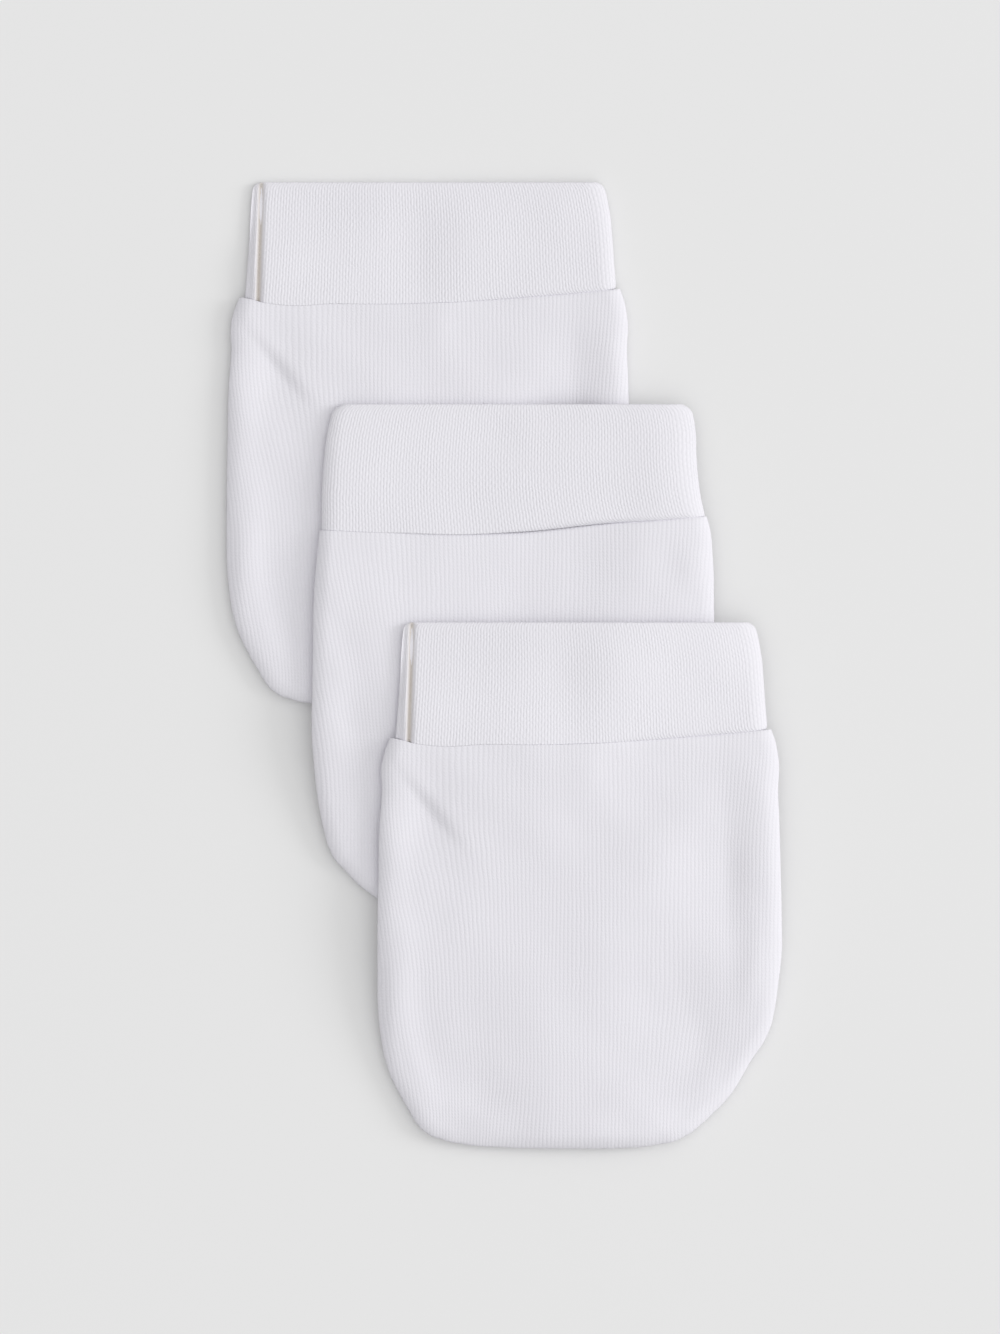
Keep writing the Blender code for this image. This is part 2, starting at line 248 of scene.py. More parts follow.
class RowCurve:
    """A smooth curve through the rows of a short table."""

    def __init__(self, table: tuple[Any, ...], key: str, value: str) -> None:
        """Keep two columns of a table and the slope of the curve at each row.

        Args:
            table: The rows.
            key: The column that says where each row is, rising.
            value: The column that says what the curve is there.
        """
        self.keys = np.array([getattr(row, key) for row in table])
        self.values = np.array([getattr(row, value) for row in table])
        steps = np.diff(self.values) / np.diff(self.keys)
        self.slopes = np.concatenate([steps[:1], (steps[:-1] + steps[1:]) / 2.0, steps[-1:]])

    def __call__(self, places: Array) -> Array:
        """Read the curve.

        Args:
            places: Where to read it; past the ends it keeps its end values.

        Returns:
            Its value at each place.
        """
        places = np.clip(places, self.keys[0], self.keys[-1])
        low = np.clip(np.searchsorted(self.keys, places, side="right") - 1, 0, len(self.keys) - 2)
        span = self.keys[low + 1] - self.keys[low]
        share = (places - self.keys[low]) / span
        start = self.values[low] + share * span * self.slopes[low]
        end = self.values[low + 1] - (1.0 - share) * span * self.slopes[low + 1]
        return start + (end - start) * ease(share)


class Outline:
    """A line round a piece of cloth, as seen from above."""

    def __init__(self, points: Array, closed: bool) -> None:
        """Keep the line.

        Args:
            points: Its points, one row each, running so that the cloth is on its left.
            closed: Whether its end joins its start.
        """
        ends = np.roll(points, -1, axis=0)
        self.starts = points if closed else points[:-1]
        self.runs = (ends if closed else ends[:-1]) - self.starts

    def nearest(self, places: Array) -> tuple[Array, Array]:
        """Find how far places are from the line.

        Args:
            places: One row each.

        Returns:
            The distance of each place, and the direction across the line into the cloth.
        """
        best = np.full(len(places), np.inf)
        inward = np.zeros((len(places), 2))
        for start, run in zip(self.starts, self.runs):
            length = max(float(run @ run), 1e-12)
            share = np.clip((places - start) @ run / length, 0.0, 1.0)
            gap = ((places - start - share[:, None] * run) ** 2).sum(axis=1)
            closer = gap < best
            best[closer] = gap[closer]
            inward[closer] = np.array([-run[1], run[0]]) / math.sqrt(length)
        return np.sqrt(best), inward

    def covers(self, places: Array) -> Array:
        """Tell which places a closed line goes round.

        Args:
            places: One row each.

        Returns:
            True for each place that is inside.
        """
        inside = np.zeros(len(places), dtype=bool)
        for start, run in zip(self.starts, self.runs):
            if abs(run[1]) < 1e-12:
                continue
            spans = (start[1] > places[:, 1]) != (start[1] + run[1] > places[:, 1])
            crossing = start[0] + (places[:, 1] - start[1]) * run[0] / run[1]
            inside ^= spans & (places[:, 0] < crossing)
        return inside

    def clear_of(self, places: Array) -> Array:
        """Distance of places, one row each, from what a closed line goes round: 0 inside it."""
        return np.where(self.covers(places), 0.0, self.nearest(places)[0])


@dataclass(frozen=True)
class MittenCut:
    """The outline and the creases of one mitten, about the middle of its cuff seam."""

    length: float
    sides: tuple[WidthRow, ...]
    left_corner: tuple[CornerRow, ...]
    right_corner: tuple[CornerRow, ...]
    seam: tuple[SeamRow, ...]
    seam_depth: tuple[SeamRow, ...]
    cuff: tuple[WidthRow, ...]
    folds: tuple[Fold, ...]
    cuff_folds: tuple[Fold, ...]
    leans: tuple[Lean, ...]
    cuff_corner: float = 1.6
    roll_left: float = 3.4
    roll_right: float = 3.4
    line_points: int = 130
    footprint_points: int = 48
    footprint_rows: int = 9
    footprint_start: float = 3.0

    @property
    def mouth(self) -> float:
        """Height of the mouth above the cuff seam."""
        return self.cuff[-1].away

    def side(self, along: Array, hand: int) -> Array:
        """Where a side of the body is.

        Args:
            along: Heights, negative below the cuff seam.
            hand: -1 for the left side, 1 for the right.

        Returns:
            The place across of that side at each height.
        """
        return hand * RowCurve(self.sides, "away", SIDE_NAMES[hand])(-along)

    def tip(self, across: Array) -> Array:
        """The height of the lower edge of the body at places across.

        Args:
            across: The places.

        Returns:
            The height at each, read against the root of its inset so that the corners leave the
            sides without a break.
        """
        from_left = across + self.sides[-1].left
        from_right = self.sides[-1].right - across
        height = np.full_like(across, -self.length)
        for corner, inset in ((self.left_corner, from_left), (self.right_corner, from_right)):
            height += RowCurve(corner, "root", "up")(np.sqrt(np.maximum(inset, 0.0)))
        return height

    def seam_line(self, across: Array) -> Array:
        """The height of the cuff seam at places across."""
        return RowCurve(self.seam, "across", "height")(across)

    def seam_valley(self, across: Array, distance: Array, width: float) -> Array:
        """How deep the cloth draws in along the cuff seam.

        Args:
            across: Places across.
            distance: Distance of each from the seam.
            width: Distance over which the valley fades.

        Returns:
            The depth at each place.
        """
        depth = np.maximum(RowCurve(self.seam_depth, "across", "height")(across), 0.0)
        return depth * np.exp(-np.abs(distance) / width)

    def body_line(self, points: int) -> Array:
        """The edge of the body, from the left end of the cuff seam round the tip to its right end.

        Args:
            points: How fine it is: a third as many go on each side, twice as many round the tip.

        Returns:
            Its points, one row each.
        """
        left = self.sides[-1].left
        right = self.sides[-1].right
        tops = self.seam_line(np.array([-left, right]))
        ends = (self.left_corner[0].up - self.length, self.right_corner[0].up - self.length)
        down = np.linspace(tops[0], ends[0], points // 3, endpoint=False)
        up = np.linspace(ends[1], tops[1], points // 3)[1:]
        turn = np.linspace(0.0, math.pi, points * 2)
        across = -left + (left + right) * (1.0 - np.cos(turn)) / 2.0
        return np.concatenate(
            [
                np.column_stack([self.side(down, -1), down]),
                np.column_stack([across, self.tip(across)]),
                np.column_stack([self.side(up, 1), up]),
            ]
        )

    def cuff_side(self, along: Array, hand: int) -> Array:
        """Where a side of the cuff is, rounded off at the mouth.

        Args:
            along: Heights above the cuff seam.
            hand: -1 for the left side, 1 for the right.

        Returns:
            The place across of that side at each height.
        """
        near = np.clip((along - self.mouth + self.cuff_corner) / self.cuff_corner, 0.0, 1.0)
        rounding = self.cuff_corner * (1.0 - np.sqrt(1.0 - near**2))
        return hand * (RowCurve(self.cuff, "away", SIDE_NAMES[hand])(along) - rounding)

    def footprint(self, centre: Array) -> Outline:
        """The closed outline of the whole mitten where it lies.

        Args:
            centre: Where the middle of its cuff seam is.

        Returns:
            The outline in the frame of the set.
        """
        heights = np.linspace(self.cuff[0].away + self.footprint_start, self.mouth, self.footprint_rows)
        right = np.column_stack([self.cuff_side(heights, 1), heights])
        left = np.column_stack([self.cuff_side(heights, -1), heights])[::-1]
        line = np.concatenate([self.body_line(self.footprint_points), right, left])
        return Outline(line + centre, closed=True)


def total(shapes: tuple[Any, ...], places: Array) -> Array:
    """What all the folds or leans come to together at places, one row each."""
    return sum((shape.at(places) for shape in shapes), np.zeros(len(places)))


@dataclass
class Drape:
    """How the mittens lower in the stack hold up one that lies on them."""

    lift: float = 3.15
    margin: float = 1.0
    reach: float = 36.0
    below: list[Outline] = field(default_factory=list)

    def height(self, places: Array) -> Array:
        """How high the underside of a mitten is held.

        Args:
            places: One row each, in the frame of the set.

        Returns:
            The height at each place.
        """
        height = np.zeros(len(places))
        for outline in self.below:
            past = outline.clear_of(places) - self.margin
            height += self.lift * (1.0 - ease(past / (self.reach - self.margin)))
        return height


# ------------------------------------------------------------------ the knit


@dataclass(frozen=True)
class Knit:
    """A knit's gauge and relief, in millimetres.

    A wale is one upright column of stitches, a course one row of them.
    """

    wale: float
    course: float
    relief: float
    columns: int = 4
    spread: tuple[float, float] = (0.4, 1.6)

    @property
    def pitch(self) -> float:
        """Distance between two columns of the mesh."""
        return self.wale / self.columns

    def rib(self, wales: Array) -> Array:
        """How far the surface stands out, broad on each wale and narrow in the groove beside it.

        Args:
            wales: Places counted in wales.

        Returns:
            The height at each place, about -relief to +relief, no two wales alike.
        """
        nearest = np.rint(wales).astype(int)
        draw = np.random.default_rng(RIB_SEED).uniform(*self.spread, nearest.max() - nearest.min() + 1)
        return self.relief * draw[nearest - nearest.min()] * (1.0 - 2.0 * np.sin(math.pi * wales) ** 4)


@dataclass(frozen=True)
class Unevenness:
    """Slow soft swells of a hand-laid cloth, the same on every run."""

    seed: int
    height: float = 0.07
    shortest: float = 11.0
    longest: float = 34.0
    waves: int = 9

    def at(self, places: Array) -> Array:
        """Add up the waves, each with its own length, direction and phase.

        Args:
            places: Where to read them, one row each.

        Returns:
            The swell at each place.
        """
        draw = np.random.default_rng(self.seed)
        swell = np.zeros(len(places))
        for _ in range(self.waves):
            length = draw.uniform(self.shortest, self.longest)
            turn = draw.uniform(0.0, FULL_TURN)
            phase = draw.uniform(0.0, FULL_TURN)
            along = places[:, 0] * math.cos(turn) + places[:, 1] * math.sin(turn)
            swell += np.sin(along * FULL_TURN / length + phase)
        return swell * self.height / math.sqrt(self.waves)


# ------------------------------------------------------------------ meshes


def add_object(name: str, data: Optional[bpy.types.ID]) -> bpy.types.Object:
    """Put a new object with its mesh, light or camera in the scene, at the origin.

    Args:
        name: Its name.
        data: What it shows.

    Returns:
        The object.
    """
    added = bpy.data.objects.new(name, data)
    bpy.context.scene.collection.objects.link(added)
    return added


class ClothMesh:
    """A grid of cloth that is bent into shape and becomes one named piece."""

    def __init__(self, name: str, columns: int, rows: int, wall: bool) -> None:
        """Make the flat grid.

        Args:
            name: The piece's name.
            columns: Spaces across.
            rows: Spaces down.
            wall: Whether it gets a far side and a rim straight away.
        """
        grid = bmesh.new()
        bmesh.ops.create_grid(grid, x_segments=columns, y_segments=rows, size=1.0)
        if wall:
            bmesh.ops.solidify(grid, geom=grid.faces[:], thickness=1.0)
        self.mesh = bpy.data.meshes.new(name)
        grid.to_mesh(self.mesh)
        grid.free()
        flat = self.points()
        self.column = np.rint((flat[:, 0] + 1.0) / 2.0 * columns).astype(int)
        self.row = np.rint((1.0 - flat[:, 1]) / 2.0 * rows).astype(int)
        self.inside = flat[:, 2] < -0.5

    def points(self) -> Array:
        """The mesh's points, one row each."""
        points = np.empty(len(self.mesh.vertices) * 3, dtype=np.float32)
        self.mesh.vertices.foreach_get("co", points)
        return points.reshape(-1, 3).astype(float)

    def place(self, points: Array) -> None:
        """Move the mesh's points, given one row each."""
        self.mesh.vertices.foreach_set("co", points.astype(np.float32).ravel())
        self.mesh.update()

    def normals(self) -> Array:
        """The way out of the surface at each point."""
        normals = np.empty(len(self.mesh.vertices) * 3, dtype=np.float32)
        self.mesh.vertex_normals.foreach_get("vector", normals)
        return normals.reshape(-1, 3).astype(float)

    def count_stitches(self, wales: Array, courses: Array) -> None:
        """Write where each point is in the knit into the piece's UV map.

        Args:
            wales: Places across the knit, counted in wales.
            courses: Places along it, counted in courses.
        """
        corners = np.empty(len(self.mesh.loops), dtype=np.int32)
        self.mesh.loops.foreach_get("vertex_index", corners)
        layer = self.mesh.uv_layers.new(name=UV_NAME)
        layer.data.foreach_set("uv", np.column_stack([wales, courses])[corners].astype(np.float32).ravel())

    def shade(self, name: str, values: Array) -> None:
        """Keep one number for each point, for a finish to read by its name."""
        layer = self.mesh.attributes.new(name=name, type="FLOAT", domain="POINT")
        layer.data.foreach_set("value", values.astype(np.float32))

    def turn_over(self) -> None:
        """Make every face look the other way."""
        self.mesh.flip_normals()

    def weld(self, distance: float) -> None:
        """Join points that lie together, such as the two ends of a ring, and face outwards.

        Args:
            distance: How near to each other such points are.
        """
        shape = bmesh.new()
        shape.from_mesh(self.mesh)
        bmesh.ops.remove_doubles(shape, verts=shape.verts[:], dist=distance)
        bmesh.ops.recalc_face_normals(shape, faces=shape.faces[:])
        shape.to_mesh(self.mesh)
        shape.free()

    def finish(self, material: bpy.types.Material) -> bpy.types.Object:
        """Turn the mesh into a piece.

        Args:
            material: What it is made of.

        Returns:
            The new object, at the origin.
        """
        self.mesh.shade_smooth()
        self.mesh.materials.append(material)
        return add_object(self.mesh.name, self.mesh)


@dataclass(frozen=True)
class RolledEdge:
    """The quarter turn over which a panel rounds from its seam to its flat."""

    reach: float
    rise: float
    samples: int = 200

    def _travel(self) -> tuple[Array, Array]:
        """Length travelled along the turn, and the inset from the outline there."""
        turn = np.linspace(0.0, math.pi / 2.0, self.samples)
        inset = self.reach * (1.0 - np.cos(turn))
        steps = np.hypot(np.diff(inset), np.diff(self.rise * np.sin(turn)))
        return np.concatenate([[0.0], np.cumsum(steps)]), inset

    @property
    def arc(self) -> float:
        """Length of cloth in the turn."""
        return float(self._travel()[0][-1])

    def inset(self, travelled: Array) -> Array:
        """How far in from the outline some cloth reaches.

        Args:
            travelled: Lengths of cloth from the edge.

        Returns:
            The inset from the outline at the end of each.
        """
        travel, inset = self._travel()
        past = np.maximum(travelled - travel[-1], 0.0)
        return np.interp(travelled, travel, inset) + past

    def gain(self, inset: Array) -> Array:
        """How much more cloth than inset there is from the outline to a place, less the whole turn's.

        Args:
            inset: How far in from the outline places are.

        Returns:
            That much at each place, and none past the turn.
        """
        travel, along = self._travel()
        travelled = np.interp(inset, along, travel)
        return np.where(inset < self.reach, travelled - inset - travel[-1] + self.reach, 0.0)

    def fullness(self, inset: Array) -> Array:
        """Share of the full rise at an inset from the outline."""
        lean = 1.0 - np.clip(inset / self.reach, 0.0, 1.0)
        return np.sqrt(1.0 - lean**2)


@dataclass
class Panel:
    """The front or back panel of a mitten: a wall of body knit that rounds over at its seams."""

    name: str
    cut: MittenCut
    face: Face
    knit: Knit
    centre: Array
    seed: int
    wall: float = 1.0
    thickness: float = 2.9
    roll: float = 3.2
    seam_clearance: float = 0.05
    top_clearance: float = 0.002
    valley_width: float = 0.4
    ridge: EdgeRidge = EdgeRidge()
    row_step: float = 1.0
    edge_row_step: float = 0.45
    top_rows: tuple[float, ...] = (0.0, 0.12, 0.26, 0.45, 0.75, 1.2, 1.8, 2.5)
    tip_share: float = 1.4
    seam_wave: float = 3.0
    edge_fade: float = 6.0
    ridge_fade: float = 12.0
    ridge_strength: float = 0.75
    ridge_unevenness: float = 6.0
    inner_share: float = 0.5
    seam_tuck: float = 0.32
    seam_tuck_height: float = 0.45
    wander: float = 0.16
    wander_stretch: float = 0.45
    wander_lengths: tuple[float, float] = (9.0, 26.0)
    above: Optional[Outline] = None
    room: float = 0.1
    room_slope: float = 0.25

    def __post_init__(self) -> None:
        """Work out the edge, the columns and the rows."""
        self.edge = RolledEdge(self.roll, self.thickness / 2.0 - self.seam_clearance)
        self.width = self.cut.sides[-1].left + self.cut.sides[-1].right
        cloth = self.width + 2.0 * (self.edge.arc - self.roll)
        self.columns = int(round(cloth / self.knit.pitch))
        travelled = np.linspace(0.0, cloth, self.columns + 1)
        from_left = self.edge.inset(travelled)
        from_right = self.width - self.edge.inset(cloth - travelled)
        self.shares = np.where(travelled < cloth / 2.0, from_left, from_right) / self.width
        self.drops = self._drops()

    def _drops(self) -> Array:
        """Lengths of cloth from the cuff seam down to each row, closest together at both ends."""
        length = self.cut.length + self.edge.arc - self.roll
        top = np.array(self.top_rows)
        end = length - self.tip_share * self.edge.arc
        middle = np.linspace(top[-1], end, int(round((end - top[-1]) / self.row_step)) + 1)[1:]
        tip = np.linspace(end, length, int(round((length - end) / self.edge_row_step)) + 1)[1:]
        return np.concatenate([top, middle, tip])

    @property
    def flat_size(self) -> tuple[float, float]:
        """Width and length of the flat cut in metres, with what rounds over the edges."""
        cloth = self.width + 2.0 * (self.edge.arc - self.roll)
        return cloth * MM, (float(self.drops[-1]) + self.seam_wave) * MM

    @property
    def flat_area(self) -> float:
        """Area of the flat cut in square metres."""
        line = self.cut.body_line(self.cut.line_points)
        after = np.roll(line, -1, axis=0)
        area = abs(float((line[:, 0] * after[:, 1] - line[:, 1] * after[:, 0]).sum())) / 2.0
        around = float(np.hypot(*np.diff(line, axis=0).T).sum())
        return (area + around * (self.edge.arc - self.roll)) * MM * MM

    def build(self, drape: Drape, material: bpy.types.Material) -> bpy.types.Object:
        """Make the panel.

        Args:
            drape: What holds the mitten up.
            material: The body knit.

        Returns:
            The panel's object.
        """
        cloth = ClothMesh(self.name, self.columns, len(self.drops) - 1, wall=True)
        form, stitches = self._form(cloth)
        if self.face is Face.BACK:
            cloth.turn_over()
        cloth.place(form)
        wales = stitches[:, 0] / self.knit.wale
        outer = ~cloth.inside
        relief = self.knit.rib(wales) - (self.knit.relief if self.face is Face.BACK else 0.0)
        form[outer] += (cloth.normals() * relief[:, None])[outer]
        cloth.count_stitches(wales, stitches[:, 1] / self.knit.course)
        form[:, :2] += self.centre
        form[:, 2] += drape.height(form[:, :2])
        cloth.place(form * MM)
        return cloth.finish(material)

    def _form(self, cloth: ClothMesh) -> tuple[Array, Array]:
        """Bend the flat grid into the panel, without its ribs.

        Args:
            cloth: The grid.

        Returns:
            The points of the form, and where each is in the flat knit.
        """
        share = self.shares[cloth.column]
        travelled = self.drops[cloth.row]
        nominal = -self.cut.sides[-1].left + share * self.width
        top = self._top(share, nominal)
        whole = self.drops[-1]
        from_tip = self.edge.inset(whole - travelled)
        down = 1.0 - from_tip / self.edge.inset(np.array([whole]))[0]
        along = top + (self.cut.tip(nominal) - top) * down
        places = np.column_stack([self._across(share, along), along])
        distance, inward = self._from_edge(places)
        rim = (cloth.column == 0) | (cloth.column == self.columns) | (cloth.row == len(self.drops) - 1)
        distance[rim] = 0.0
        fullness = self.edge.fullness(distance)
        stitches = places - inward * self.edge.gain(distance)[:, None]
        stitches[:, 0] += self._lean(places)
        return self._raise(cloth, places, top - along, distance, inward, fullness), stitches

    def _across(self, share: Array, along: Array) -> Array:
        """Place across of points that are a share of the way from side to side at heights."""
        return self.cut.side(along, -1) * (1.0 - share) + self.cut.side(along, 1) * share

    def _top(self, share: Array, nominal: Array) -> Array:
        """Height of the panel's upper edge above each point, which follows the cuff seam.

        Args:
            share: How far from side to side each point is, from 0 to 1.
            nominal: Its place across where the body is widest.

        Returns:
            The height of the edge for each point.
        """
        top = self.cut.seam_line(nominal)
        for _ in range(SEAM_PASSES):
            top = self.cut.seam_line(self._across(share, top))
        return top - self.top_clearance

    def _lean(self, places: Array) -> Array:
        """How far aside the wales lean and wander.

        Args:
            places: One row each.

        Returns:
            The shift at each place.
        """
        stretched = places * np.array([1.0, self.wander_stretch])
        wander = Unevenness(self.seed + WANDER_SEED, self.wander, *self.wander_lengths).at(stretched)
        return wander + total(self.cut.leans, places)

    def _pressed(self, lie: Array, places: Array) -> Array:
        """Hold the folds down under the mitten above.

        Args:
            lie: The rise of the folds.
            places: Where it is, one row each.

        Returns:
            The rise that the mitten above leaves room for.
        """
        if self.above is None:
            return lie
        distance = self.above.clear_of(places + self.centre)
        return np.minimum(lie, self.room + self.room_slope * distance)

    def _from_edge(self, places: Array) -> tuple[Array, Array]:
        """Measure from the outline, near it only.

        Args:
            places: One row each.

        Returns:
            The distance from the outline and the way in from it.
        """
        far = self.ridge.reach
        distance = np.full(len(places), far)
        inward = np.zeros((len(places), 2))
        near = np.abs(places[:, 0]) > self.width / 2.0 - far
        near |= places[:, 1] < self.cut.tip(places[:, 0]) + far
        outline = Outline(self.cut.body_line(self.cut.line_points), closed=False)
        distance[near], inward[near] = outline.nearest(places[near])
        return distance, inward

    def _raise(
        self,
        cloth: ClothMesh,
        places: Array,
        below_seam: Array,
        distance: Array,
        inward: Array,
        fullness: Array,
    ) -> Array:
        """Give the places their heights and tuck their edges in to the seam.

        Args:
            cloth: The grid they belong to.
            places: Where the points are, seen from above.
            below_seam: How far each is below the cuff seam.
            distance: How far each is from the outline.
            inward: The way in from the outline.
            fullness: Share of the panel's full rise.

        Returns:
            The points of the form.
        """
        half = self.thickness / 2.0 - self.seam_clearance
        rise = np.where(cloth.inside, half - self.wall, half) * fullness
        lean = 1.0 - np.clip(distance / self.roll, 0.0, 1.0)
        moved = places + inward * np.where(cloth.inside, self.wall, 0.0)[:, None] * lean[:, None]
        tuck = np.clip(1.0 - rise / self.seam_tuck_height, 0.0, 1.0) ** 2 * self.seam_tuck
        moved += inward * np.where(cloth.inside, 0.0, tuck)[:, None]
        if self.face is Face.FRONT:
            valley = self.cut.seam_valley(places[:, 0], below_seam, self.valley_width)
            uneven = Unevenness(self.seed + RIDGE_SEED).at(places)
            strength = self.ridge_strength + self.ridge_unevenness * uneven
            swell = Unevenness(self.seed).at(places) * ease(distance / self.edge_fade)
            lie = total(self.cut.folds, places) + swell
            lie += self.ridge.height(distance) * strength * ease(below_seam / self.ridge_fade)
            lie = self._pressed(lie, places) * np.where(cloth.inside, self.inner_share, 1.0)
            rise += fullness * (lie - np.where(cloth.inside, 0.0, valley))
        height = self.thickness / 2.0 + self.face.value * (self.seam_clearance + rise)
        return np.column_stack([moved, height])


@dataclass
class Cuff:
    """A strip of rib folded double along the mouth and closed to a flattened ring."""

    name: str
    cut: MittenCut
    lie: Lie
    knit: Knit
    centre: Array
    seed: int
    wall: float = 1.3
    inner_gap: float = 0.3
    seam_clearance: float = 0.002
    taper: float = 0.4
    mouth_smooth: float = 1.6
    side_seam: SideSeam = SideSeam()
    valley_width: float = 0.35
    hem_share: float = 0.06
    hem_rows: int = 4
    outer_rows: int = 46
    fold_rows: int = 9
    inner_rows: int = 8
    back_columns: int = 2
    lip_share: float = 0.4
    swell: float = 0.05
    fold_relief: float = 0.6

    def __post_init__(self) -> None:
        """Work out the stations round the ring and the section through its wall."""
        self.half = self.wall + self.inner_gap / 2.0
        rolls = (self.cut.roll_left, self.cut.roll_right)
        front = 2.0 * self.cut.cuff[0].left - sum(rolls)
        around = math.pi * (self.half + max(rolls)) / 2.0
        self.front_columns = int(round(front / self.knit.wale)) * self.knit.columns
        self.turn_columns = int(round(around / self.knit.wale)) * self.knit.columns
        self.rear_columns = self.front_columns // self.knit.columns * self.back_columns
        gap = self.inner_gap / 2.0
        self.outer = self._stations(self.half, rolls, rolls)
        self.inner = self._stations(gap, (self.half, self.half), (gap, gap))
        self.wales = self._wales()
        self.layers, self.levels = self._section()

    def _stations(self, half: float, ends: tuple[float, float], rolls: tuple[float, float]) -> Array:
        """Places round a flattened ring.

        Args:
            half: Half the thickness of the ring.
            ends: How far in from its sides, left and right, its rounded ends stop.
            rolls: How wide those rounded ends are.

        Returns:
            Rows of share across, offset across, height from the middle, and the way out across and up.
        """
        turn = np.linspace(-math.pi / 2.0, math.pi / 2.0, self.turn_columns, endpoint=False)
        cosine = np.cos(turn)
        sine = np.sin(turn)
        still = 0.0 * turn
        left = np.column_stack([still, ends[0] - rolls[0] * cosine, half * sine, -cosine, sine])
        right = np.column_stack([still + 1.0, rolls[1] * cosine - ends[1], -half * sine, cosine, -sine])
        flats = []
        for first, last, columns, up in (
            (0.0, 1.0, self.front_columns, 1.0),
            (1.0, 0.0, self.rear_columns, -1.0),
        ):
            share = np.linspace(first, last, columns, endpoint=False)
            offset = ends[0] * (1.0 - share) - ends[1] * share
            level = np.full_like(share, up)
            flats.append(np.column_stack([share, offset, half * level, 0.0 * share, level]))
        return np.concatenate([left, flats[0], right, flats[1]])

    def _wales(self) -> Array:
        """Count of wales at each station and, last, back at the start."""
        fine = 1.0 / self.knit.columns
        coarse = 1.0 / self.back_columns
        steps = [fine] * (self.turn_columns * 2 + self.front_columns) + [coarse] * self.rear_columns
        return np.concatenate([[0.0], np.cumsum(steps)])

    def _section(self) -> tuple[Array, Array]:
        """The way round the wall: up the outside, over the fold, down the inside.

        Returns:
            The layer, 0 outside to 1 inside, and the level, 1 where the fold starts, of each point.
        """
        hem = ease(np.linspace(0.0, 1.0, self.hem_rows + 1))[:-1] * self.hem_share
        up = np.concatenate([hem, np.linspace(self.hem_share, 1.0, self.outer_rows, endpoint=False)])
        turn = np.linspace(0.0, math.pi, self.fold_rows)
        down = np.linspace(1.0, 0.0, self.inner_rows)[1:]
        layers = np.concatenate([0.0 * up, (1.0 - np.cos(turn)) / 2.0, 0.0 * down + 1.0])
        levels = np.concatenate([up, 1.0 + np.sin(turn), down])
        return layers, levels

    @property
    def round_length(self) -> float:
        """Length of the strip round the ring in metres, at the middle of its wall."""
        straight = 2.0 * (self.cut.cuff[1].left + self.cut.cuff[1].right - 2.0 * self.wall)
        return (straight + math.pi * self.wall) * MM

    @property
    def height(self) -> float:
        """Height of the strip that shows, from the seam over the fold, in metres."""
        return (self.cut.mouth + self.wall * (math.pi / 2.0 - 1.0) / 2.0) * MM

    def build(self, drape: Drape, material: bpy.types.Material) -> bpy.types.Object:
        """Make the cuff.

        Args:
            drape: What holds the mitten up.
            material: The rib knit.

        Returns:
            The cuff's object.
        """
        cloth = ClothMesh(self.name, len(self.outer), len(self.layers), wall=False)
        station = cloth.column % len(self.outer)
        ring = cloth.row % len(self.layers)
        form, off, seamed = self._form(station, ring)
        cloth.count_stitches(self.wales[cloth.column], form[:, 1] / self.knit.course)
        # Per-point mask of the seam's thread colour and the painted shade in its groove.
        cloth.shade(THREAD_AND_SHADE_NAME, self.side_seam.thread_and_shade(off) * seamed)
        form[:, [0, 2]] += self._relief(station, ring, form[:, 1], off, seamed)
        form[:, 2] *= 1.0 - self.taper * np.maximum(form[:, 1], 0.0) / self.cut.mouth
        form[:, :2] += self.centre
        form[:, 2] += drape.height(form[:, :2])
        cloth.place(form * MM)
        cloth.weld(distance=1e-7)
        return cloth.finish(material)

    def _relief(
        self, station: Array, ring: Array, along: Array, off: Array, seamed: Array
    ) -> Array:
        """How far the ribs move each point, across and up.

        Args:
            station: Which place round the ring each point is at.
            ring: Which place round the wall's section.
            along: Its height above the body.
            off: How far right of the side seam's groove it is.
            seamed: Whether the side seam is on its side of the cuff, from 0 to 1.

        Returns:
            The move of each point, none inside, in the seam and at the smooth turn of the mouth.
        """
        relief = self.knit.rib(self.wales[station]) * (1.0 - self.layers[ring])
        relief *= ease((self.cut.mouth - along) / self.mouth_smooth)
        relief *= 1.0 - self.side_seam.thread_and_shade(off) * seamed
        out = self.outer[station][:, 3:]
        relief -= self.knit.relief * (out[:, 1] < -0.5)
        return out * relief[:, None]

    def _form(self, station: Array, ring: Array) -> tuple[Array, Array, Array]:
        """Bend the flat grid into the cuff, without its ribs.

        Args:
            station: Which place round the ring each point is at.
            ring: Which place round the wall's section.

        Returns:
            The points of the form, how far right of the side seam's groove each is, and how much that
            seam is on its side of the cuff.
        """
        fold = self.wall / 2.0
        top = self.cut.mouth
        layer = self.layers[ring]
        level = self.levels[ring]
        outer = self.outer[station]
        inner = self.inner[station]
        bottom = self._bottom(outer)
        straight = (top - fold - bottom) * np.minimum(level, 1.0)
        along = bottom + straight + fold * np.maximum(level - 1.0, 0.0)
        below_lip = np.minimum(along, top - fold * self.lip_share)
        left = self.cut.cuff_side(below_lip, -1)
        right = self.cut.cuff_side(below_lip, 1)
        hem = self.cut.seam_valley(self._across(outer, bottom), along - bottom, self.valley_width)
        layer = np.where(layer == 0.0, hem / self.wall, layer)
        points = []
        for row in (outer, inner):
            across = left + (right - left) * row[:, 0] + row[:, 1]
            points.append(np.column_stack([across, along, self.half + row[:, 2]]))
        form = points[0] + (points[1] - points[0]) * layer[:, None]
        upper = ease(outer[:, 2] / self.half)
        swell = Unevenness(self.seed, self.swell).at(form[:, :2])
        form[:, 2] += (swell + total(self.cut.cuff_folds, form[:, :2])) * upper
        off = self.side_seam.from_groove(form, top)
        seamed = upper if self.lie is Lie.SEAM_UP else 0.0 * upper
        seamed = seamed * (1.0 - layer) * (outer[:, 0] < 0.5)
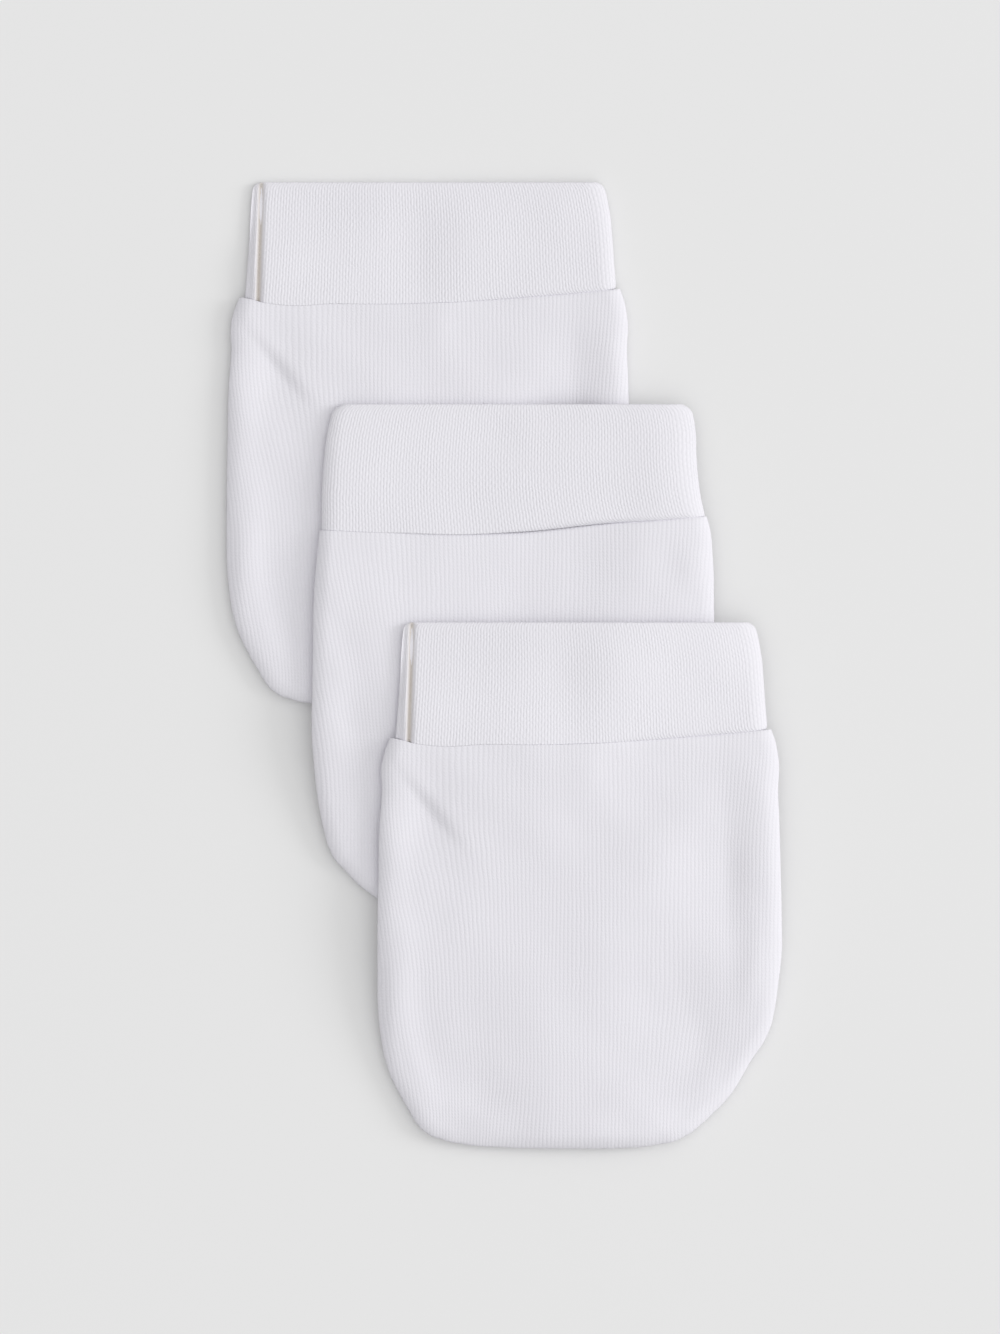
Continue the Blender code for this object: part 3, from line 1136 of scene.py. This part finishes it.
        form[:, 2] += self.side_seam.height(off) * seamed * (1.0 - self.fold_relief * ease(level - 1.0))
        return form, off, seamed

    def _across(self, outer: Array, along: Array) -> Array:
        """Place across of outer stations at heights."""
        left = self.cut.cuff_side(along, -1)
        return left + (self.cut.cuff_side(along, 1) - left) * outer[:, 0] + outer[:, 1]

    def _bottom(self, outer: Array) -> Array:
        """Height of the cuff's lower edge, which follows the cuff seam.

        Args:
            outer: Stations round the outside of the ring.

        Returns:
            The height at each.
        """
        bottom = np.zeros(len(outer))
        for _ in range(SEAM_PASSES):
            bottom = self.cut.seam_line(self._across(outer, bottom))
        return bottom + self.seam_clearance


# ------------------------------------------------------------------ finishes


class Value:
    """A socket of a shader that takes part in arithmetic."""

    def __init__(self, shader: "Shader", socket: bpy.types.NodeSocket) -> None:
        """Keep the socket and the shader it is in."""
        self.shader = shader
        self.socket = socket

    def _with(self, operation: str, *others: Any) -> "Value":
        """Add a Math node on this value and others."""
        return self.shader.math(operation, self, *others)

    def __add__(self, other: Any) -> "Value":
        """This value and another together."""
        return self._with("ADD", other)

    __radd__ = __add__

    def __mul__(self, other: Any) -> "Value":
        """This value times another."""
        return self._with("MULTIPLY", other)

    __rmul__ = __mul__

    def __sub__(self, other: Any) -> "Value":
        """This value less another."""
        return self._with("SUBTRACT", other)

    def __rsub__(self, other: Any) -> "Value":
        """Another value less this one."""
        return self.shader.math("SUBTRACT", other, self)

    def __pow__(self, other: Any) -> "Value":
        """This value to a power."""
        return self._with("POWER", other)

    def cosine(self) -> "Value":
        """Cosine of this value in radians."""
        return self._with("COSINE")

    def size(self) -> "Value":
        """This value without its sign."""
        return self._with("ABSOLUTE")

    def floor(self) -> "Value":
        """The whole number below this value."""
        return self._with("FLOOR")

    def remainder(self, divisor: float) -> "Value":
        """What is left of this value past whole divisors."""
        return self._with("FLOORED_MODULO", divisor)


class Shader:
    """The nodes of a material or a world, added one call at a time."""

    def __init__(self, owner: bpy.types.ID, output: str) -> None:
        """Start with nothing but an output.

        Args:
            owner: The material or the world.
            output: The type of its output node.
        """
        owner.use_nodes = True
        self.tree = owner.node_tree
        self.tree.nodes.clear()
        self.output = self.tree.nodes.new(output)

    @classmethod
    def of_material(cls, material: bpy.types.Material) -> "Shader":
        """Start the nodes of a material."""
        return cls(material, "ShaderNodeOutputMaterial")

    @classmethod
    def of_world(cls, world: bpy.types.World) -> "Shader":
        """Start the nodes of a world."""
        return cls(world, "ShaderNodeOutputWorld")

    def show(self, node: bpy.types.Node) -> None:
        """Lead a node's first output to the surface."""
        self.tree.links.new(node.outputs[0], self.output.inputs["Surface"])

    def node(
        self, kind: str, settings: Optional[dict[str, Any]] = None, inputs: Optional[dict[Any, Any]] = None
    ) -> bpy.types.Node:
        """Add any node.

        Args:
            kind: The node's type.
            settings: Its settings, such as its operation, which are set first.
            inputs: Values or links of its sockets, by name or number.

        Returns:
            The node.
        """
        node = self.tree.nodes.new(kind)
        for name, value in (settings or {}).items():
            setattr(node, name, value)
        for name, value in (inputs or {}).items():
            socket = node.inputs[name]
            if isinstance(value, Value):
                self.tree.links.new(value.socket, socket)
            else:
                socket.default_value = value
        return node

    def out(self, node: bpy.types.Node, name: Any = 0) -> Value:
        """One of a node's outputs as a value."""
        return Value(self, node.outputs[name])

    def math(self, operation: str, *operands: Any) -> Value:
        """Add a Math node.

        Args:
            operation: What it does.
            operands: Values or numbers.

        Returns:
            Its result.
        """
        return self.out(self.node("ShaderNodeMath", {"operation": operation}, dict(enumerate(operands))))

    def mix(self, factor: Any, first: Any, second: Any) -> Value:
        """Blend two colours by a factor from 0 to 1."""
        node = self.node("ShaderNodeMix", {"data_type": "RGBA"}, {0: factor, 6: first, 7: second})
        return self.out(node, 2)

    def noise(self, vector: Value, scale: float, detail: float, roughness: float = 0.5) -> Value:
        """Soft noise from 0 to 1 over a vector."""
        inputs = {"Vector": vector, "Scale": scale, "Detail": detail, "Roughness": roughness}
        return self.out(self.node("ShaderNodeTexNoise", {"noise_dimensions": "3D"}, inputs), "Fac")

    def bump(self, depth: float, height: Value, normal: Optional[Value] = None) -> Value:
        """The way the surface faces once a height has been pressed into it.

        Args:
            depth: How deep it goes, in metres.
            height: The pattern, from 0 to 1.
            normal: The way the surface faced before.

        Returns:
            The new normal.
        """
        inputs = {"Distance": depth, "Height": height}
        if normal is not None:
            inputs["Normal"] = normal
        return self.out(self.node("ShaderNodeBump", None, inputs))

    def stitches(self) -> tuple[Value, Value]:
        """Wales and courses counted by the piece's UV map."""
        uv = self.node("ShaderNodeUVMap", {"uv_map": UV_NAME})
        parts = self.node("ShaderNodeSeparateXYZ", None, {0: self.out(uv)})
        return self.out(parts, 0), self.out(parts, 1)

    def shade(self, name: str) -> Value:
        """A number that the piece keeps for each of its points."""
        return self.out(self.node("ShaderNodeAttribute", {"attribute_name": name}), "Fac")

    def place(self) -> Value:
        """Place on the object in metres."""
        return self.out(self.node("ShaderNodeTexCoord"), "Object")

    def direction(self) -> Value:
        """The way a world is looked at, as a vector of length 1."""
        return self.out(self.node("ShaderNodeTexCoord"), "Generated")


@dataclass(frozen=True)
class KnitFinish:
    """Matt white cotton: the colour of its yarn, painted shade in the grooves between its stitches, and its
    nap.
    """

    name: str
    crest: Colour
    # The groove colour is painted shade: it is used where the stitches dip.
    groove: Colour
    stitch_depth: float
    fuzz_depth: float = 0.00003
    roughness: float = 0.92
    sheen: float = 0.12
    tone_scale: float = 55.0
    stray_scale: float = 420.0
    patch_scale: float = 230.0
    fibre_scale: float = 2600.0
    stray_wales: float = 0.5
    stray_courses: float = 1.8
    patch_gain: float = 1.1
    patch_least: float = 0.45
    stitch_shade_share: float = 0.4
    tone_share: float = 0.3
    fibre_share: float = 0.3
    specular: float = 0.2
    sheen_roughness: float = 0.6

    def stitch_pattern(self, wales: Value, courses: Value) -> Value:
        """Height of the stitches from 0 to 1."""
        raise NotImplementedError

    def tint(self, shader: Shader, colour: Value) -> Value:
        """The colour of the cloth, where anything but its yarn shows."""
        return colour

    def material(self) -> bpy.types.Material:
        """Make the material.

        Returns:
            A material with stitches in its bump, painted shade that darkens the grooves between them, and
            tone that varies over the cloth.
        """
        material = bpy.data.materials.new(self.name)
        shader = Shader.of_material(material)
        wales, courses = shader.stitches()
        place = shader.place()
        stray = shader.noise(place, self.stray_scale, 1.0) - 0.5
        patch = shader.noise(place, self.patch_scale, 2.0)
        astray = (wales + stray * self.stray_wales, courses + stray * self.stray_courses)
        pattern = self.stitch_pattern(*astray) * (patch * self.patch_gain + self.patch_least)
        tone = shader.noise(place, self.tone_scale, 3.0)
        fibre = shader.noise(place, self.fibre_scale, 2.0, 0.6)
        # The stitch pattern pulls the colour toward the groove colour in the dips between stitches, which
        # is painted shade; tone and fibre noise vary it at random.
        light = self.stitch_shade_share * pattern + self.tone_share * tone + self.fibre_share * fibre
        colour = self.tint(shader, shader.mix(light, self.groove, self.crest))
        stitches = shader.bump(self.stitch_depth, pattern)
        nap = shader.bump(self.fuzz_depth, fibre, stitches)
        cloth = shader.node(
            "ShaderNodeBsdfPrincipled",
            None,
            {
                "Base Color": colour,
                "Roughness": self.roughness,
                "Specular IOR Level": self.specular,
                "Sheen Weight": self.sheen,
                "Sheen Roughness": self.sheen_roughness,
                "Normal": nap,
            },
        )
        shader.show(cloth)
        return material


@dataclass(frozen=True)
class BodyKnit(KnitFinish):
    """Plain body knit: each wale a column of small V stitches."""

    slant: float = 1.1
    leg_share: float = 0.45

    def stitch_pattern(self, wales: Value, courses: Value) -> Value:
        """Height of the V stitches from 0 to 1."""
        aside = ((wales + 0.5).remainder(1.0) - 0.5).size()
        leg = ((courses - aside * self.slant) * FULL_TURN).cosine() * 0.5 + 0.5
        crown = 1.0 - (aside * 2.0) ** 2.0
        return leg * self.leg_share * crown + crown * (1.0 - self.leg_share)


@dataclass(frozen=True)
class RibKnit(KnitFinish):
    """Finer cuff rib: short oval stitches, each wale half a stitch away from the next."""

    # Ecru thread colour darkened into painted shade for the side seam's groove.
    thread_and_shade: Colour = (0.6, 0.555, 0.51, 1.0)
    oval_share: float = 0.6

    def tint(self, shader: Shader, colour: Value) -> Value:
        """The cloth's colour, with the ecru thread of its side seam and painted shade in the seam's groove,
        both in one darker brownish grey.
        """
        return shader.mix(shader.shade(THREAD_AND_SHADE_NAME), colour, self.thread_and_shade)

    def stitch_pattern(self, wales: Value, courses: Value) -> Value:
        """Height of the oval stitches from 0 to 1."""
        centred = wales + 0.5
        aside = (centred.remainder(1.0) - 0.5).size()
        stagger = centred.floor().remainder(2.0) * 0.5
        oval = ((courses + stagger) * FULL_TURN).cosine() * 0.5 + 0.5
        crown = 1.0 - (aside * 2.0) ** 2.0
        return oval * self.oval_share * crown + crown * (1.0 - self.oval_share)


@dataclass(frozen=True)
class FloorFinish:
    """A plain pale studio floor."""

    name: str = "studio_floor"
    colour: Colour = (0.79, 0.79, 0.79, 1.0)
    roughness: float = 0.95
    uneven: float = 0.005
    grain: float = 6.0

    def material(self) -> bpy.types.Material:
        """Make the material, barely uneven in tone."""
        material = bpy.data.materials.new(self.name)
        shader = Shader.of_material(material)
        tone = shader.noise(shader.place(), self.grain, 1.0)
        low = (*(part * (1.0 - self.uneven) for part in self.colour[:3]), 1.0)
        colour = shader.mix(tone, low, self.colour)
        inputs = {"Base Color": colour, "Roughness": self.roughness, "Specular IOR Level": 0.0}
        paper = shader.node("ShaderNodeBsdfPrincipled", None, inputs)
        shader.show(paper)
        return material


# ------------------------------------------------------------------ the two ways a mitten lies


def rows(kind: type, *table: tuple[float, ...]) -> tuple[Any, ...]:
    """The rows of a table, each with the columns of the kind of row it holds."""
    return tuple(kind(*row) for row in table)


CUTS = {
    Lie.SEAM_UP: MittenCut(
        length=85.2,
        sides=rows(
            WidthRow,  # away, left, right
            (-2.0, 38.9, 39.8), (0.0, 40.2, 40.6), (11.0, 41.6, 41.2), (29.0, 42.4, 41.8),
            (42.0, 42.6, 42.1),
        ),
        left_corner=rows(
            CornerRow,  # inset, up
            (0.0, 34.0), (0.5, 25.1), (1.6, 18.8), (4.0, 12.7), (6.5, 8.2), (8.4, 5.1),
            (10.0, 3.5), (13.2, 2.0), (17.4, 1.0), (25.0, 0.3), (36.0, 0.0),
        ),
        right_corner=rows(
            CornerRow,  # inset, up
            (0.0, 44.0), (0.7, 35.5), (1.6, 29.0), (3.2, 23.6), (6.4, 18.6), (8.9, 14.2),
            (10.9, 11.2), (14.3, 7.6), (17.3, 4.8), (20.3, 2.6), (25.7, 0.9), (36.0, 0.0),
        ),
        seam=rows(
            SeamRow,  # across, height
            (-39.0, 0.6), (-36.5, 0.0), (-34.0, -0.65), (-20.0, -0.72), (0.0, -0.6),
            (12.0, 0.1), (25.0, 1.1), (39.5, 2.4),
        ),
        seam_depth=rows(
            SeamRow,  # across, height
            (-39.0, 0.0), (2.0, 0.05), (12.0, 0.4), (40.0, 0.45),
        ),
        cuff=rows(
            WidthRow,  # away, left, right
            (0.0, 38.7, 39.1), (7.8, 38.1, 38.4), (13.5, 37.7, 38.0), (19.5, 37.4, 37.3),
            (24.7, 36.9, 36.1),
        ),
        folds=rows(
            Fold,  # across, along, length, width, turn, height, other width
            (-32.2, -14.6, 8.0, 1.8, -50.6, -1.05, 7.0),
            (-38.0, -2.0, 3.0, 4.0, -80.0, 0.3, 2.5),
            (-38.5, -51.0, 11.0, 5.5, -90.0, 0.4, 2.5),
            (29.4, -25.0, 19.0, 5.6, -88.0, -1.55, 15.0),
            (20.5, -54.5, 11.0, 7.5, -68.0, -1.3, 15.0),
            (19.0, -20.0, 18.0, 10.0, 54.0, 0.85, 8.0),
            (-5.0, -76.0, 12.0, 24.0, -88.0, 1.2, 12.0),
            (10.0, -79.0, 7.0, 13.0, -76.0, 1.15, 20.0),
            (-22.5, -66.0, 14.0, 5.0, -87.0, -0.35, 6.0),
            (1.5, -5.5, 4.5, 3.5, -90.0, 0.3, 5.0),
        ),
        cuff_folds=rows(
            Fold,  # across, along, length, width, turn, height, other width
            (-26.0, 19.5, 6.0, 11.0, -90.0, -0.8, 40.0),
            (-33.5, 7.0, 6.0, 9.0, -90.0, 0.5, 40.0),
            (-3.0, 11.0, 12.0, 5.0, -88.0, -0.55, 6.0),
            (8.0, 15.5, 7.0, 10.0, -90.0, 0.5, 5.0),
            (26.5, 19.0, 7.0, 7.0, -90.0, 0.6, 9.0),
        ),
        leans=rows(
            Lean,  # across, along, width, length, shift
            (-37.0, -12.0, 15.0, 40.0, 5.5),
            (24.0, -48.0, 13.0, 34.0, -2.8),
            (37.0, 2.0, 10.0, 26.0, -2.0),
            (-17.0, -66.0, 9.0, 20.0, -1.4),
            (-36.0, -52.0, 12.0, 30.0, 4.0),
        ),
        roll_left=1.45,
    ),
    Lie.SEAM_UNDER: MittenCut(
        length=85.2,
        sides=rows(
            WidthRow,  # away, left, right
            (-2.0, 38.9, 41.4), (0.0, 39.0, 42.1), (6.5, 39.6, 43.0), (15.0, 40.3, 43.3),
            (24.0, 40.5, 43.4), (41.0, 40.8, 43.5),
        ),
        left_corner=rows(
            CornerRow,  # inset, up
            (0.0, 44.0), (0.4, 35.5), (1.3, 27.2), (2.5, 20.9), (3.7, 16.8), (6.7, 12.6),
            (13.4, 6.6), (18.0, 4.0), (24.0, 1.6), (36.0, 0.0),
        ),
        right_corner=rows(
            CornerRow,  # inset, up
            (0.0, 34.0), (0.5, 25.1), (1.6, 18.8), (4.0, 12.7), (6.5, 8.2), (10.0, 4.0),
            (17.4, 1.2), (25.0, 0.4), (36.0, 0.0),
        ),
        seam=rows(
            SeamRow,  # across, height
            (-39.3, -1.9), (-22.0, -2.5), (0.0, -2.4), (19.0, -0.5), (30.0, 0.1), (41.5, 1.0),
        ),
        seam_depth=rows(
            SeamRow,  # across, height
            (-39.3, 0.0), (-8.0, 0.08), (6.0, 0.55), (35.0, 0.6), (42.0, 0.15),
        ),
        cuff=rows(
            WidthRow,  # away, left, right
            (-2.0, 38.6, 42.2), (1.5, 38.6, 41.3), (5.0, 38.6, 40.5), (9.0, 38.4, 39.95),
            (14.0, 38.0, 39.55), (19.5, 37.2, 39.3), (24.4, 35.9, 38.3),
        ),
        folds=rows(
            Fold,  # across, along, length, width, turn, height, other width
            (12.5, -10.0, 20.0, 13.0, -90.0, -1.1, 32.0),
            (-27.0, -34.0, 24.0, 7.0, -90.0, 0.35, 6.0),
            (-36.5, -9.0, 10.0, 11.0, -90.0, 0.5, 4.0),
            (-14.0, -6.0, 9.0, 7.0, 0.0, 0.15, 7.0),
            (24.0, -74.0, 8.0, 5.0, 40.0, 0.35, 5.0),
            (-20.0, -70.0, 11.0, 4.5, -60.0, -0.45, 4.5),
        ),
        cuff_folds=rows(
            Fold,  # across, along, length, width, turn, height, other width
            (-34.0, 10.0, 12.0, 11.0, -90.0, 0.45, 4.0),
            (-2.0, 19.0, 6.0, 5.0, -90.0, -0.4, 7.0),
            (25.0, 3.0, 8.0, 3.5, 8.0, -0.2, 3.5),
            (33.0, 12.0, 11.0, 4.5, -90.0, 0.25, 4.0),
        ),
        leans=rows(
            Lean,  # across, along, width, length, shift
            (-36.0, 3.0, 15.0, 62.0, 8.0),
            (36.0, 0.0, 10.0, 30.0, -2.0),
        ),
        cuff_corner=2.2,
        roll_right=4.4,
    ),
}


@dataclass
class Mitten:
    """One mitten of the stack: two panels and a cuff."""

    level: str
    lie: Lie
    seed: int
    body_knit: Knit = Knit(wale=0.84, course=0.72, relief=0.0075)
    back_knit: Knit = Knit(wale=0.84, course=0.72, relief=0.0075, columns=3)
    cuff_knit: Knit = Knit(wale=0.63, course=1.42, relief=0.010)
    back_row_step: float = 2.0
    back_edge_row_step: float = 0.75

    def __post_init__(self) -> None:
        """Find from the frame where the middle of the cuff seam lies."""
        self.cut = CUTS[self.lie]
        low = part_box(self.node("front"))[0]
        left = low[0] / MM + self.cut.sides[-1].left
        self.centre = np.array([left, low[1] / MM + self.cut.length])

    def node(self, part: str) -> str:
        """Name of one of the mitten's nodes in the frame."""
        return f"mitten_{self.level}_{part}"

    @property
    def footprint(self) -> Outline:
        """Its outline where it lies."""
        return self.cut.footprint(self.centre)

    def build(
        self,
        drape: Drape,
        above: Optional[Outline],
        body: bpy.types.Material,
        rib: bpy.types.Material,
        rests: list[str],
    ) -> list[str]:
        """Args:
            drape: What holds it up.
            above: The outline of the mitten that lies on it.
            body: The body knit.
            rib: The cuff's rib knit.
            rests: Names of what it lies on; not used.

        Returns:
            Names of the pieces.
        """
        front_name = self.node("front") + "_knit"
        back_name = self.node("back") + "_knit"
        front = Panel(front_name, self.cut, Face.FRONT, self.body_knit, self.centre, self.seed, above=above)
        back = Panel(
            back_name, self.cut, Face.BACK, self.back_knit, self.centre, self.seed + 1,
            row_step=self.back_row_step, edge_row_step=self.back_edge_row_step,
        )
        names = []
        for part, panel, resting in (("front", front, [back_name]), ("back", back, rests)):
            piece = panel.build(drape, body)
            panel.flat_size
            panel.flat_area
            self._declare(piece, part)
            names.append(piece.name)
        rib_name = self.node("cuff") + "_rib"
        cuff = Cuff(rib_name, self.cut, self.lie, self.cuff_knit, self.centre, self.seed + 2)
        piece = cuff.build(drape, rib)
        cuff.round_length
        cuff.height
        self._declare(piece, "cuff")
        names.append(piece.name)
        drape.below.append(self.footprint)
        return names

    def _declare(self, piece: bpy.types.Object, part: str) -> None:
        """Attach a piece to the root and hide the part of the model that it stands for.

        Args:
            piece: The piece.
            part: Which part of the mitten it stands for.
        """
        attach(piece, "root")
        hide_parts(self.node(part))


# ------------------------------------------------------------------ the studio


@dataclass
class Studio:
    """A pale floor, a soft light from the right, a soft sky and the camera straight above."""

    floor_size: float = 4.0
    key_power: float = 50.5
    key_size: float = 1.6
    key_distance: float = 4.0
    key_height: float = 22.0
    key_heading: float = 8.0
    sky: float = 0.323
    sky_lean: float = 1.0
    sky_crown: float = 2.6
    floor_drop: float = 0.00005
    lens: float = 250.0
    camera_height: float = 1.9355
    camera_shift: tuple[float, float] = (-0.0009, -0.0003)

    def build(self) -> None:
        """Make the floor, the lights and the camera."""
        self._floor()
        self._key()
        self._sky()
        self._camera()

    def _floor(self) -> None:
        """Lay the floor just under the mittens."""
        shape = bmesh.new()
        bmesh.ops.create_grid(shape, x_segments=1, y_segments=1, size=self.floor_size / 2.0)
        bmesh.ops.translate(shape, verts=shape.verts[:], vec=Vector((0.0, 0.0, -self.floor_drop)))
        mesh = bpy.data.meshes.new("studio_floor")
        shape.to_mesh(mesh)
        shape.free()
        mesh.materials.append(FloorFinish().material())
        add_object("studio_floor", mesh)

    def _key(self) -> None:
        """Hang the soft light on the right, a little towards the cuffs."""
        light = bpy.data.lights.new("key", "AREA")
        light.shape = "DISK"
        light.size = self.key_size
        light.energy = self.key_power
        lamp = add_object("key", light)
        height = math.radians(self.key_height)
        heading = math.radians(self.key_heading)
        way = Vector(
            (math.cos(height) * math.cos(heading), math.cos(height) * math.sin(heading), math.sin(height))
        )
        lamp.location = way * self.key_distance
        lamp.rotation_euler = way.to_track_quat("Z", "Y").to_euler()

    def _sky(self) -> None:
        """Fill the studio with white light that is stronger from above and from the key's side."""
        world = bpy.data.worlds.new("studio")
        shader = Shader.of_world(world)
        heading = math.radians(self.key_heading)
        parts = shader.node("ShaderNodeSeparateXYZ", None, {0: shader.direction()})
        toward = shader.out(parts, 0) * math.cos(heading) + shader.out(parts, 1) * math.sin(heading)
        strength = (toward * self.sky_lean + shader.out(parts, 2) * self.sky_crown + 1.0) * self.sky
        light = {"Color": (1.0, 1.0, 1.0, 1.0), "Strength": strength}
        shader.show(shader.node("ShaderNodeBackground", None, light))
        bpy.context.scene.world = world
        bpy.context.scene.view_settings.view_transform = "Standard"

    def _camera(self) -> None:
        """Look straight down on the set."""
        lens = bpy.data.cameras.new("camera")
        lens.lens = self.lens
        camera = add_object("camera", lens)
        camera.location = (*self.camera_shift, self.camera_height)
        bpy.context.scene.camera = camera


def main() -> None:
    """Build the set from the bottom of the stack up, then the studio around it."""
    logging.basicConfig(level=logging.INFO, format="%(message)s")
    # Each knit gets a white for its stitches and a darker painted shade for the grooves between them.
    body_white = (0.805, 0.793, 0.838, 1.0)
    body_groove_painted_shade = (0.732, 0.721, 0.766, 1.0)
    rib_white = (0.82, 0.808, 0.852, 1.0)
    rib_groove_painted_shade = (0.744, 0.733, 0.776, 1.0)
    body = BodyKnit("body_knit_cotton", body_white, body_groove_painted_shade, stitch_depth=0.00004).material()
    rib = RibKnit("cuff_rib_cotton", rib_white, rib_groove_painted_shade, stitch_depth=0.00006).material()
    drape = Drape()
    rests = ["studio_floor"]
    stack = [
        Mitten("lower", Lie.SEAM_UP, seed=11),
        Mitten("middle", Lie.SEAM_UNDER, seed=23),
        Mitten("upper", Lie.SEAM_UP, seed=11),
    ]
    for mitten, above in zip(stack, [stack[1].footprint, stack[2].footprint, None]):
        names = mitten.build(drape, above, body, rib, rests)
        LOG.info("%s mitten: %s", mitten.level, ", ".join(names))
        rests = [name for name in names if "back" not in name]
    Studio().build()


if __name__ == "__main__":
    main()
